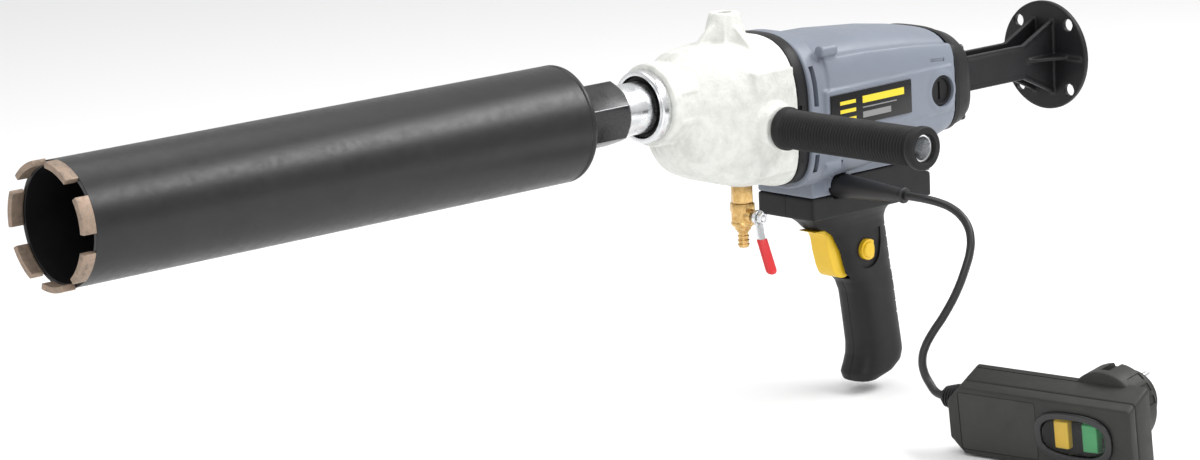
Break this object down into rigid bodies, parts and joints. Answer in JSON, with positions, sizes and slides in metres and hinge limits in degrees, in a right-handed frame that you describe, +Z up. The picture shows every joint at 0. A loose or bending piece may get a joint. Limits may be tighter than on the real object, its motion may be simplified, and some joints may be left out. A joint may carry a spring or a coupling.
{
  "type": "diamond core drill",
  "caption": "Hand-held diamond core drill with core bit, two-stage gearbox, pistol grip, side handle, breast plate, water valve and mains lead with safety plug.",
  "frame": {"origin": "Middle of the pistol grip, where the hand holds the tool.", "axes": "+Z up; the bit points along -X and the breast plate along +X; the side handle and the cable boot are on -Y."},
  "size_m": [0.9016, 0.3743, 0.294],
  "materials": {
    "cast_white": "rough",
    "blue_grey_plastic": "satin",
    "black_plastic": "satin",
    "label_black": "gloss",
    "black_rubber": "matte",
    "satin_black_paint": "satin",
    "bronze_segment": "rough",
    "bright_steel": "polished",
    "steel": "machined",
    "brass": "polished",
    "copper": "satin",
    "yellow_plastic": "satin",
    "red_plastic": "gloss",
    "green_plastic": "gloss",
    "plug_grey_plastic": "satin",
    "clear_plastic": "clear",
    "carbon": "matte"
  },
  "bodies": {
    "housing": {"spindle_front_bearing": "bright_steel", "spindle_rear_bearing": "bright_steel", "nose_ring": "bright_steel", "intermediate_front_bearing": "bright_steel", "intermediate_rear_bearing": "bright_steel", "armature_front_bearing": "bright_steel", "armature_rear_bearing": "bright_steel", "side_handle_tube": "bright_steel", "plug_pin_1": "bright_steel", "plug_pin_2": "bright_steel", "field_core": "steel", "spindle_seal": "black_rubber", "side_handle_grip": "black_rubber", "cable_boot": "black_rubber", "mains_cord": "black_rubber", "flange_plate": "black_plastic", "brush_cap_left": "black_plastic", "brush_cap_right": "black_plastic", "rear_cover": "black_plastic", "breast_plate": "black_plastic", "grip_shell_left": "black_plastic", "grip_shell_right": "black_plastic", "switch_body": "black_plastic", "plug_cord_gland": "black_plastic", "carbon_brush_left": "carbon", "carbon_brush_right": "carbon", "gearbox_casting": "cast_white", "motor_housing": "blue_grey_plastic", "label_plate": "label_black", "plug_front_shell": "plug_grey_plastic", "plug_rear_shell": "plug_grey_plastic", "plug_window": "clear_plastic", "valve_adapter": "brass", "valve_body": "brass"},
    "spindle": {"spindle_shaft": "bright_steel", "spindle_gear": "steel", "core_hub": "satin_black_paint", "core_back_plate": "satin_black_paint", "core_tube": "satin_black_paint", "diamond_segment_1": "bronze_segment", "diamond_segment_2": "bronze_segment", "diamond_segment_3": "bronze_segment", "diamond_segment_4": "bronze_segment", "diamond_segment_5": "bronze_segment", "diamond_segment_6": "bronze_segment", "diamond_segment_7": "bronze_segment"},
    "intermediate": {"intermediate_pinion_shaft": "steel", "intermediate_gear": "steel"},
    "armature": {"armature_shaft": "steel", "armature_core": "steel", "commutator": "copper", "cooling_fan": "black_plastic"},
    "trigger": {"trigger": "yellow_plastic"},
    "lock_button": {"lock_button": "yellow_plastic"},
    "valve_lever": {"valve_ball_stem": "bright_steel", "valve_lever": "bright_steel", "lever_sleeve": "red_plastic", "lever_nut": "bright_steel"},
    "test_button": {"test_button": "yellow_plastic"},
    "reset_button": {"reset_button": "green_plastic"}
  },
  "joints": [
    {"name": "spindle_spin", "type": "hinge", "parent": "housing", "child": "spindle", "pos_m": [-0.192, 0, 0.165], "axis": [1, 0, 0], "continuous": true},
    {"name": "intermediate_spin", "type": "hinge", "parent": "housing", "child": "intermediate", "pos_m": [-0.142, 0.02009, 0.15012], "axis": [1, 0, 0], "continuous": true},
    {"name": "armature_spin", "type": "hinge", "parent": "housing", "child": "armature", "pos_m": [-0.042, 0, 0.144], "axis": [1, 0, 0], "continuous": true},
    {"name": "trigger_pull", "type": "slide", "parent": "housing", "child": "trigger", "axis": [1, 0, 0], "range_m": [0, 0.006], "stiffness_N_per_m": 800, "springref_m": -0.003},
    {"name": "lock_press", "type": "slide", "parent": "housing", "child": "lock_button", "axis": [0, 1, 0], "range_m": [0, 0.002], "stiffness_N_per_m": 400, "springref_m": -0.002},
    {"name": "valve_turn", "type": "hinge", "parent": "housing", "child": "valve_lever", "pos_m": [-0.122, -0.01, 0.074], "axis": [0, 1, 0], "range_deg": [0, 90]},
    {"name": "test_press", "type": "slide", "parent": "housing", "child": "test_button", "axis": [0.9848, 0.1384, 0.1045], "range_m": [0, 0.002], "stiffness_N_per_m": 400, "springref_m": -0.002},
    {"name": "reset_press", "type": "slide", "parent": "housing", "child": "reset_button", "axis": [0.9848, 0.1384, 0.1045], "range_m": [0, 0.002], "stiffness_N_per_m": 400, "springref_m": -0.002}
  ],
  "couplings": [
    {"joint": "intermediate_spin", "follows": "spindle_spin", "ratio": -4},
    {"joint": "armature_spin", "follows": "spindle_spin", "ratio": 14.667}
  ]
}
